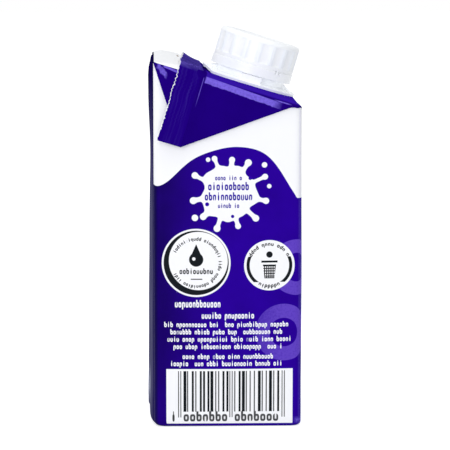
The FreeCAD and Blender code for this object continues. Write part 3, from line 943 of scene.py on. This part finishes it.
# The label: its left, right, low and high edge, its bars (left, right, pitch) with pairs of longer
# bars at three places, and the marks under them.
LABEL = (-18.25, 19.3, 1.1, 17.65)
LABEL_BARS = (-13.4, 16.0, 1.16)
LABEL_GUARDS = (-14.3, 0.95, 16.5)
LABEL_MARKS = (-18.0, 15.2, 2.85, 2.2, 1.9, 0.0)

FILM_GLOSS = 0.015          # the solid ink looks deep, so the film on it reflects little
RELIEF = 0.0003             # metres between the lows and highs of a relief of 1
PEEL_DEPTH = 0.0002         # the same for moulded plastic


def centred(d, s, z, centre):
    """Place measured from a centre."""
    return d.join(d.sub(s, centre[0]), d.sub(z, centre[1]))


def polar(d, place):
    """Distance from the centre, and the turn round it."""
    x, y, _ = d.split(place)
    away = d.calc("SQRT", d.add(d.mul(x, x), d.mul(y, y)))
    return away, d.calc("ARCTAN2", y, x)


def wave_field(d, s, z):
    """White board above the wave, on all panels but the back one."""
    line = WAVE_MIDDLE
    for count, height, crest in WAVES:
        turn = d.mul(d.sub(s, crest), count * 2 * math.pi / ROUND_THE_TUBE)
        line = d.add(d.mul(d.calc("COSINE", turn), height), line)
    line = d.calc("SMOOTH_MAX", line, WAVE_TROUGH, 0.6)
    return d.both(d.above(z, line), d.between(s, -BACK_EDGE, HALF_ROUND + BACK_EDGE))


def with_shapes(d, mask, group, place, shapes):
    """A mask and the shapes of a list together."""
    for shape in shapes:
        mask = d.either(mask, d.shape(group, place, *shape))
    return mask


def splash(d, s, z):
    """The splash of cream and the rows of print on it."""
    place = centred(d, s, z, SPLASH)
    away, turn = polar(d, place)
    edge = SPLASH_BODY
    for lobes, height, start in SPLASH_LOBES:
        edge = d.add(d.mul(d.calc("COSINE", d.add(d.mul(turn, lobes), start)), height), edge)
    outside = d.sub(away, edge)
    for angle, *sizes in SPLASH_ARMS:
        thrown = d.shape(ARM, place, math.radians(angle), *sizes)
        outside = d.calc("SMOOTH_MIN", outside, thrown, 1.3)
    cream = with_shapes(d, d.below(outside, 0.0, 0.12), DISC, place, SPLASH_DROPS)
    rows = with_shapes(d, 0.0, ROW, place, SPLASH_ROWS)
    return cream, with_shapes(d, rows, DISC, place, SPLASH_BUBBLES)


def large_badge(d, s, z):
    """A round badge with a ring that thins to one side, print round the rim, a drop and a row."""
    place = centred(d, s, z, LARGE_BADGE)
    away, turn = polar(d, place)
    x, y, _ = d.split(place)
    rim, rim_row = 9.6, 7.1
    drop_foot, drop_tip = 1.9, 5.6
    thick = d.add(0.95, d.mul(d.calc("COSINE", d.add(turn, 2.4)), 0.85))
    dark = d.both(d.below(away, rim), d.above(away, d.sub(rim, thick)))
    dark = with_shapes(d, dark, ROW, d.join(d.mul(turn, rim_row), away), [LARGE_RIM_ROW])
    taper = d.mul(d.sub(drop_tip, y), 0.44)
    drop = d.both(d.below(d.size(x), taper), d.between(y, drop_foot, drop_tip))
    drop = d.either(drop, d.shape(DISC, place, 0.0, 1.0, 2.1))
    shine = d.shape(DISC, place, -0.7, 1.2, 0.5)
    dark = d.either(dark, d.both(drop, d.sub(1.0, shine)))
    dark = with_shapes(d, dark, ROW, place, [LARGE_ROW])
    line = d.shape(BOX, place, -1.6, 1.8, -5.0, -4.7)
    return d.below(away, LARGE_BADGE[2]), d.either(dark, line)


def small_badge(d, s, z):
    """A round badge with two ring pieces, print above and below, and a plain bin."""
    place = centred(d, s, z, SMALL_BADGE)
    away, turn = polar(d, place)
    x, y, _ = d.split(place)
    wide = d.size(x)
    rim_inner, rim_outer, rim_row = 5.85, 6.8, 6.3
    bin_foot, bin_top, bin_rim = -3.9, 0.2, 0.4
    dark = d.between(away, rim_inner, rim_outer)
    dark = d.both(dark, d.between(y, -5.0, 2.6), d.above(wide, 2.6))
    dark = with_shapes(d, dark, ROW, d.join(d.mul(turn, rim_row), away), SMALL_RIM_ROWS)
    side = d.add(1.55, d.mul(d.add(y, 3.2), 0.12))
    wall = d.both(d.below(wide, side), d.between(y, bin_foot, bin_top))
    slats = d.above(d.calc("FRACT", d.mul(x, 1.6)), 0.45)
    slats = d.either(slats, d.above(d.calc("FRACT", d.mul(y, 1.3)), 0.6))
    rims = d.either(d.above(y, bin_top - bin_rim), d.below(y, -3.6))
    dark = d.either(dark, d.both(wall, d.either(slats, rims)))
    lid = d.both(d.below(wide, 2.4), d.between(y, 0.8, 1.4))
    dark = d.either(dark, lid)
    ball = d.shape(DISC, place, 0.0, 3.2, 0.95)
    return d.below(away, SMALL_BADGE[2]), d.either(dark, ball)


def bar_label(d, s, z):
    """A white label with plain bars and a row of light marks under them."""
    place = d.join(s, z)
    field = d.shape(BOX, place, *LABEL)
    bars_top, bars_foot, guards_foot = LABEL[3] - 0.6, 4.7, 3.0
    dark = d.both(d.shape(BARS, place, *LABEL_BARS), d.between(z, bars_foot, bars_top))
    marks = d.mul(with_shapes(d, 0.0, ROW, place, [LABEL_MARKS]), 0.95)
    for at in LABEL_GUARDS:
        apart = d.size(d.sub(s, at))
        pair = d.both(d.near(apart, 0.34, 0.13, 0.05), d.between(z, guards_foot, bars_top))
        dark = d.either(d.both(dark, d.above(apart, 0.75, 0.05)), pair)
        marks = d.both(marks, d.above(apart, 0.95, 0.05))
    return field, d.either(dark, marks)


def pale_rings(d, s, z):
    """Rings of paler ink."""
    place = d.join(s, z)
    mask = 0.0
    for across, up, outer, inner in RINGS:
        whole, hole = (d.shape(DISC, place, across, up, radius) for radius in (outer, inner))
        mask = d.either(mask, d.sub(whole, hole))
    return mask


# ---- materials
def film_finish(d, shader, colour, place, wave, grain, gloss=0.0, pressed=None):
    """A print under its clear film: the film's waves, grain and gloss, and any pressed relief."""
    d.feed(shader.inputs["Base Color"], colour)
    film = d.place(FILM, place, wave, grain)
    height = film["Height"] if pressed is None else d.add(film["Height"], pressed)
    d.feed(shader.inputs["Normal"], d.bump(height, 0.5, RELIEF))
    d.feed(shader.inputs["Roughness"], film["Roughness"])
    shader.inputs["Specular IOR Level"].default_value = gloss


def purple_ink(d, place, full, share):
    """Purple ink with the slight unevenness of a solid print."""
    cloudy = d.noise(place, 0.08, 3.0)
    return d.layer(d.mul(d.above(cloudy, 0.5, 0.6), share), full, DEEP_PURPLE)


def printed_board(name, rows=(), badges=()):
    """Printed board: purple with painted shade towards the back edge, pale rings and the white
    wave, then rows of print and badges, and painted light along the front edge and at the foot.
    """
    material, shader, d = new_material(name)
    s, z, _ = d.split(d.attribute("print_mm"))
    place = d.join(s, z)
    colour = purple_ink(d, place, PURPLE, 0.4)
    # Painted shade: deeper purple towards the back edge, uneven, and weaker near the foot.
    uneven = d.add(0.7, d.mul(d.noise(place, 0.12, 3.0), 0.5))
    lower = d.add(0.6, d.mul(d.above(z, 17.0, 20.0), 0.4))
    colour = d.layer(d.both(d.below(s, -11.5, 15.0), uneven, lower), colour, DEEP_PURPLE)
    uneven = d.add(0.3, d.mul(d.noise(place, 1.6, 4.0), 0.9))
    rings = d.both(pale_rings(d, s, z), uneven, d.add(0.6, d.mul(d.above(s, 12.0, 9.0), 0.7)))
    colour = d.layer(rings, colour, PALE_PURPLE)
    # Painted shade: navy over the purple on the rounded back corner.
    colour = d.layer(d.mul(d.below(s, -21.3, 1.0), 0.75), colour, NAVY)
    colour = d.layer(wave_field(d, s, z), colour, WHITE_BOARD)
    colour = d.layer(with_shapes(d, 0.0, ROW, place, rows), colour, WHITE_BOARD)
    for badge, dark_ink in badges:
        field, dark = badge(d, s, z)
        colour = d.layer(dark, d.layer(field, colour, WHITE_BOARD), dark_ink)
    # Painted light: paler purple along the front upright edge, a highlight on the purple and a
    # shade line on the white, and a painted glint at the front of the foot.
    front_edge_light = d.shape(EDGE_LIGHT, place, d.sub(s, HALF_DEPTH), 0.8)
    foot = d.both(d.shape(EDGE_LIGHT, place, d.sub(z, 2.0), 1.2), d.between(s, 20.0, 24.4, 1.2, 0.8))
    front_and_foot_light = d.either(d.mul(front_edge_light, 0.18), d.mul(foot, 0.7))
    colour = d.layer(front_and_foot_light, colour, SHEEN_PURPLE)
    film_finish(d, shader, colour, place, 1.0, 0.05, FILM_GLOSS)
    return material


def back_board():
    """The back panel: navy print, with a painted grey reflection where the filled pack stands out
    most and a painted pale highlight near its foot.
    """
    material, shader, d = new_material("back_panel")
    s, z, _ = d.split(d.attribute("print_mm"))
    place = d.join(s, z)
    _, y, _ = d.split(d.attribute("fold_mm"))
    colour = d.layer(d.noise(place, 0.3, 3.0), NAVY, DEEP_PURPLE)
    # Painted reflection: greyer navy, streaked, where the filled pack stands out most.
    swollen = d.both(d.between(y, -18.0, 10.0, 6.0, 20.0), d.below(z, 84.0, 40.0))
    streaks = d.noise(d.join(d.mul(y, 0.5), d.mul(z, 0.05)), 1.0, 3.0)
    rubbed_and_sheen = d.mul(swollen, d.above(streaks, 0.4, 0.5))
    colour = d.layer(d.mul(rubbed_and_sheen, 0.95), colour, REFLECTION_NAVY)
    # Painted highlight: pale blue-white near the foot, broken up by noise.
    foot = d.both(d.between(y, -9.0, 4.0, 8.0), d.between(z, 5.0, 13.0, 4.0, 7.0))
    foot = d.both(foot, d.above(d.noise(place, 0.5, 4.0, 0.65), 0.4, 0.4))
    colour = d.layer(d.mul(foot, 0.85), colour, GLINT_NAVY)
    film_finish(d, shader, colour, place, 1.0, 0.05)
    return material


def fold_highlight(d, u, n):
    """Painted highlight as paler purple along the bend down to an ear: long in front, two short at
    the back.
    """
    wobble = d.mul(d.noise(d.join(u, d.mul(n, 0.3)), 0.9, 3.0, 0.6), 0.6)
    across = d.add(n, d.mul(d.sub(u, 16.0), 0.045))
    band = d.between(across, d.add(-1.75, wobble), 0.42, 0.2, 0.15)
    band = d.both(band, d.between(u, 16.2, 38.5, 0.3, 3.0))
    line = d.both(d.near(n, -0.35, 0.15, 0.15), d.between(u, 38.0, 42.0, 2.0, 1.5))
    rear_low = d.sub(-0.15, d.mul(u, 0.11))
    rear = d.between(n, rear_low, d.add(rear_low, 0.6))
    rear = d.both(rear, d.between(u, 3.4, 7.9, 0.3, 0.2))
    off = d.size(d.add(d.add(n, -0.7), d.mul(u, 0.7)))
    streak = d.both(d.below(off, d.mul(wobble, 2.6), 0.4), d.between(u, 1.6, 4.9, 0.6, 0.8))
    return d.either(band, line, d.either(d.mul(rear, 0.9), d.mul(streak, 0.75)))


def purple_folds():
    """The folded ears and the top: purple with painted highlights along the bends and the crease,
    and a white strip behind the cross seal, painted brighter as top light.
    """
    material, shader, d = new_material("purple_folds")
    place = d.attribute("fold_mm")
    u, y, n = d.split(place)
    strip = d.both(d.above(n, 0.02, 0.08), d.below(u, SEAL_FROM_BACK - FIN_WIDTH + 3.0))
    colour = purple_ink(d, place, FOLD_PURPLE, 0.55)
    top = d.both(d.above(n, 0.2, 0.5), d.above(u, 16.2, 0.4))
    colour = d.layer(d.mul(top, 0.06), d.layer(top, colour, PURPLE), SHEEN_PURPLE)
    # Painted highlight: a thin pale line down the crease in front of the fin, on the near ear.
    crease_highlight = d.both(d.near(u, 15.6, 0.1), d.between(n, -7.2, -0.1, 4.0, 0.4))
    crease_highlight = d.both(crease_highlight, d.below(y, 0.0, 1.0))
    colour = d.layer(d.mul(crease_highlight, 0.6), colour, SHEEN_PURPLE)
    # Painted highlight along the bends down to the ears, broken up by grain.
    grain = d.add(0.3, d.mul(d.noise(place, 1.3, 4.0, 0.65), 1.15))
    colour = d.layer(d.mul(fold_highlight(d, u, n), grain), colour, SHEEN_PURPLE)
    # The strip behind the seal gets a brighter white than the panels: painted top light.
    colour = d.layer(strip, colour, TOP_LIT_WHITE)
    spot = d.shape(DISC, d.join(u, d.mul(y, 0.14)), 7.4, 1.2, 0.35)
    colour = d.layer(d.mul(spot, 0.8), colour, SPOT_BROWN)
    colour = d.layer(d.both(d.below(u, 0.3), d.above(n, -2.0, 0.5)), colour, NAVY)
    film_finish(d, shader, colour, place, 0.9, 0.08)
    return material


def purple_seal():
    """The cross seal: purple with pressed streaks, a painted sheen on its top face and painted
    highlights on its wrinkles, and white board at its cut edge.
    """
    material, shader, d = new_material("purple_seal")
    place = d.attribute("seal_mm")
    cut, w, _ = d.split(place)
    ragged = d.mul(d.noise(d.join(w, d.mul(cut, 0.4)), 0.8, 5.0, 0.8), 1.2)
    margin = d.below(cut, d.sub(ragged, 0.42))
    streaks = d.noise(d.join(cut, d.mul(w, 0.035)), 1.1, 3.0, 0.6)
    colour = purple_ink(d, place, FOLD_PURPLE, 0.3)
    colour = d.layer(d.mul(d.above(streaks, 0.6, 0.2), 0.08), colour, SHEEN_PURPLE)
    # Painted sheen: greyer purple on the top face of the seal.
    upper = d.between(w, -22.6, 22.6, 1.2)
    colour = d.layer(d.mul(upper, 0.25), colour, SHEEN_GREY)
    # Painted highlights: thin pale lines over the top face, and on the wrinkles near the near bend.
    drawn_highlights = d.noise(d.join(d.mul(cut, 0.06), d.mul(w, 0.25)), 0.9, 2.0, 0.5)
    drawn_highlights = d.both(d.near(drawn_highlights, 0.5, 0.015, 0.03), upper)
    crumple = d.noise(d.join(cut, d.mul(w, 0.45)), 0.55, 3.0, 0.6)
    near_roll = d.between(w, -21.5, -13.0, 2.0, 3.0)
    wrinkle_highlights = d.both(d.near(crumple, 0.5, 0.02, 0.02), near_roll)
    colour = d.layer(d.mul(d.either(wrinkle_highlights, d.mul(drawn_highlights, 0.7)), 0.6), colour, SHEEN_PURPLE)
    colour = d.layer(margin, colour, WHITE_BOARD)
    film_finish(d, shader, colour, place, 0.7, 0.08, pressed=d.mul(streaks, 0.8))
    return material


def raw_edge():
    """The cut board: white fibres, a little uneven."""
    material, shader, d = new_material("raw_board_edge")
    fibres = d.noise(d.attribute("seal_mm"), 3.5, 4.0, 0.7)
    d.feed(shader.inputs["Base Color"], d.layer(fibres, WHITE_BOARD, RAW_BOARD))
    d.feed(shader.inputs["Normal"], d.bump(fibres, 0.6, RELIEF))
    shader.inputs["Roughness"].default_value = 0.85
    shader.inputs["Specular IOR Level"].default_value = 0.1
    return material


def flute_shade(d, place, flutes):
    """Where the cap gets painted shade: the hollows between its ribs, by their turn round its axis.
    """
    x, y, z = d.split(place)
    back, drop = d.add(x, HALF_DEPTH), d.sub(z, BACK_HEIGHT)
    down = d.sub(d.mul(back, math.cos(SLOPE)), d.mul(drop, math.sin(SLOPE)))
    up = d.sub(d.add(d.mul(back, math.sin(SLOPE)), d.mul(drop, math.cos(SLOPE))), TOP_RISE)
    turn = d.calc("ARCTAN2", d.sub(down, SPOUT_FROM_BACK), d.mul(y, -1.0))
    hollow = d.above(d.calc("COSINE", d.mul(turn, flutes)), 0.1, 0.5)
    return d.both(hollow, d.between(up, FLUTE_LOW, FLUTE_HIGH, 0.1, 0.3))


def white_plastic(name, painted_glow=0.0, flutes=0):
    """Moulded white plastic, with painted shade in any flutes and a faint painted glow from its
    emission.
    """
    material, shader, d = new_material(name)
    scale = d.node("VectorMath")
    scale.operation = "SCALE"
    scale.inputs["Scale"].default_value = 1 / MM
    d.feed(scale.inputs[0], d.node("TexCoord").outputs["Object"])
    place = scale.outputs[0]
    skin = d.place(MOULDED, place, 1.0)
    colour = d.layer(d.mul(skin["Tone"], 0.5), PLASTIC_WHITE, PLASTIC_SHADE)
    if flutes:
        # Painted shade in the hollows of the flutes.
        colour = d.layer(d.mul(flute_shade(d, place, flutes), 0.45), colour, PLASTIC_SHADE)
    d.feed(shader.inputs["Base Color"], colour)
    d.feed(shader.inputs["Roughness"], skin["Roughness"])
    d.feed(shader.inputs["Normal"], d.bump(skin["Height"], 0.3, PEEL_DEPTH))
    # Painted glow: a faint emission lightens the shaded parts of the plastic.
    shader.inputs["Emission Color"].default_value = PLASTIC_SHADE
    shader.inputs["Emission Strength"].default_value = painted_glow
    return material


# ---- pieces
UPPER_BADGES = [(splash, PURPLE), (large_badge, NEAR_BLACK), (small_badge, NEAR_BLACK)]

body = carton_body([
    printed_board("printed_panels"),
    back_board(),
    printed_board("side_print_upper", ROWS[:1], UPPER_BADGES),
    printed_board("side_print_lower", ROWS, [(bar_label, NEAR_BLACK)]),
    purple_folds(),
])
seal = cross_seal([purple_seal(), raw_edge()])
for piece in (body, seal):
    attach(piece, "root")
    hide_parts("carton")

# The band gets a faint painted glow.
band = tamper_ring(white_plastic("tamper_band_plastic", 0.02))
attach(band, "root")
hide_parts("tamper_band")

# The spout gets a faint painted glow, the cap none.
for node_name, painted_glow, flutes in (("spout", 0.07, 0), ("screw_cap", 0.0, FLUTE_COUNT)):
    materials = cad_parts[node_name].data.materials
    materials.clear()
    materials.append(white_plastic(node_name + "_plastic", painted_glow, flutes))


# ---- stage, light and camera
SKY_LIGHT = 0.62            # strength of the world as light
SKY_TINT = (0.955, 0.977, 1.0, 1)
FLOOR_GLOW = 0.62           # added to the floor for the eye and for reflections
FLOOR_REACH = 3.0           # metres, as all below
LAMP_DISTANCE = 1.1
LAMP_AIM = 0.08             # height above the floor that the lamps point at
CAMERA_PLACE = (-0.0255, -0.7295, 0.1519)
CAMERA_DOWN = 7.35          # degrees
CAMERA_TURN = -2.0
LENS = 193.5


def white_stage():
    """A plain white floor that keeps the pack's soft shadow."""
    mesh = bpy.data.meshes.new("floor")
    reach = FLOOR_REACH
    corners = [(-reach, -reach, 0), (reach, -reach, 0), (reach, reach, 0), (-reach, reach, 0)]
    mesh.from_pydata(corners, [], [(0, 1, 2, 3)])
    material, shader, d = new_material("floor_white")
    shader.inputs["Base Color"].default_value = (0.9, 0.9, 0.9, 1)
    shader.inputs["Roughness"].default_value = 0.9
    shader.inputs["Specular IOR Level"].default_value = 0.0
    shader.inputs["Emission Color"].default_value = (1, 1, 1, 1)
    d.feed(shader.inputs["Emission Strength"], d.mul(d.seen(), FLOOR_GLOW))
    mesh.materials.append(material)
    floor = stand("floor", mesh)


def white_surroundings():
    """A white world: full white to the eye and in reflections, softer as light."""
    world = bpy.data.worlds.new("studio")
    bpy.context.scene.world = world
    world.use_nodes = True
    d = Draft(world.node_tree)
    backdrop = world.node_tree.nodes["Background"]
    seen = d.seen()
    d.feed(backdrop.inputs["Color"], d.layer(seen, SKY_TINT, (1, 1, 1, 1)))
    d.feed(backdrop.inputs["Strength"], d.add(d.mul(seen, 1 - SKY_LIGHT), SKY_LIGHT))


def soft_box(name, turn, height, breadth, length, power):
    """A soft box aimed at the pack: its turn from straight in front, and its height, in degrees."""
    lamp = bpy.data.lights.new(name, "AREA")
    lamp.shape = "RECTANGLE"
    lamp.size = breadth
    lamp.size_y = length
    lamp.energy = power
    holder = stand(name, lamp)
    a, e = math.radians(turn), math.radians(height)
    back = Vector((math.sin(a) * math.cos(e), -math.cos(a) * math.cos(e), math.sin(e)))
    holder.location = Vector((0, 0, LAMP_AIM)) + back * LAMP_DISTANCE
    holder.rotation_euler = (-back).to_track_quat("-Z", "Y").to_euler()


def studio_camera():
    """The view along the side panel, a little from above."""
    data = bpy.data.cameras.new("studio_camera")
    data.sensor_width = 36
    data.lens = LENS
    camera = stand("studio_camera", data)
    camera.location = CAMERA_PLACE
    camera.rotation_euler = (math.radians(90 - CAMERA_DOWN), 0, math.radians(CAMERA_TURN))
    bpy.context.scene.camera = camera


white_stage()
white_surroundings()
soft_box("front_box", -19, 15, 0.6, 0.8, 4.25)
soft_box("low_box", -30, 5, 0.9, 0.4, 0.75)
soft_box("top_box", 0, 82, 0.7, 0.7, 3.1)
studio_camera()
bpy.context.scene.view_settings.view_transform = "Standard"
